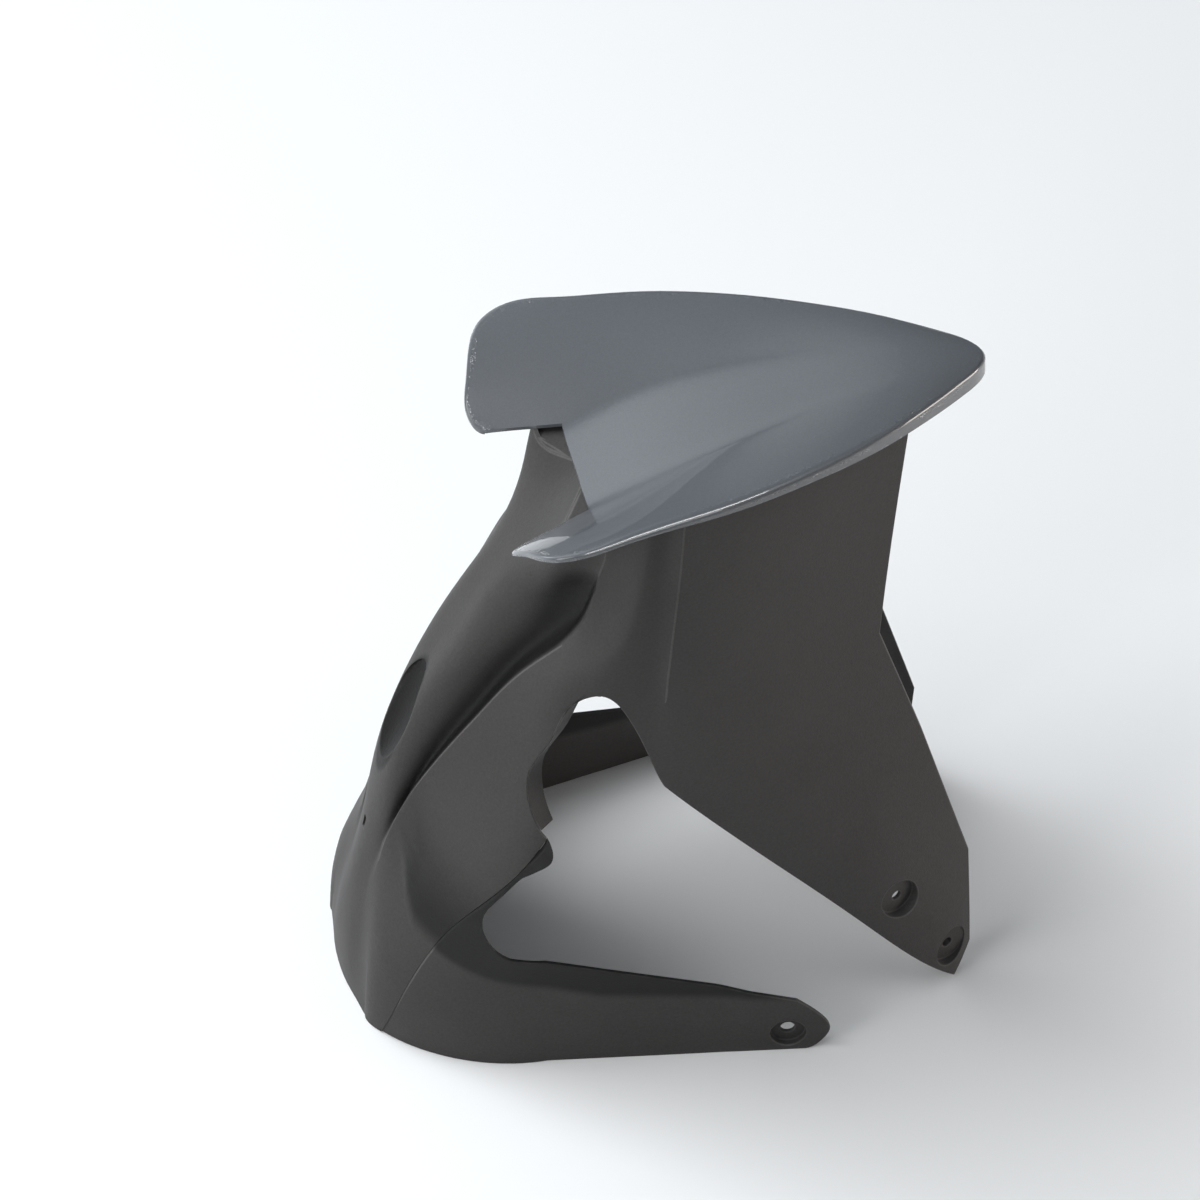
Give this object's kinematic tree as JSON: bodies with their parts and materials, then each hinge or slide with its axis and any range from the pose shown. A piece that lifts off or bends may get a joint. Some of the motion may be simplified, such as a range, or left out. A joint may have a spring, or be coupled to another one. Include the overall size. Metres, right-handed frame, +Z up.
{
  "type": "motorcycle front mudguard",
  "caption": "Two-tone motorcycle front mudguard: glossy pointed top cover over a textured black body with fork panels, arches and lower stays.",
  "frame": {"origin": "on the floor it stands on, below the middle of its overall box", "axes": "+Z up, +X to the front of the motorcycle, Y across the motorcycle with the rider's right at -Y"},
  "size_m": [0.399, 0.2696, 0.4486],
  "materials": {
    "black_plastic": "fine textured satin",
    "grey_paint": "gloss paint over plastic",
    "screw_steel": "plain zinc"
  },
  "bodies": {
    "root": {"mudguard_body": "black_plastic", "top_cover": "grey_paint", "right_stay": "black_plastic", "left_stay": "black_plastic", "cover_screws": "screw_steel"}
  },
  "joints": []
}
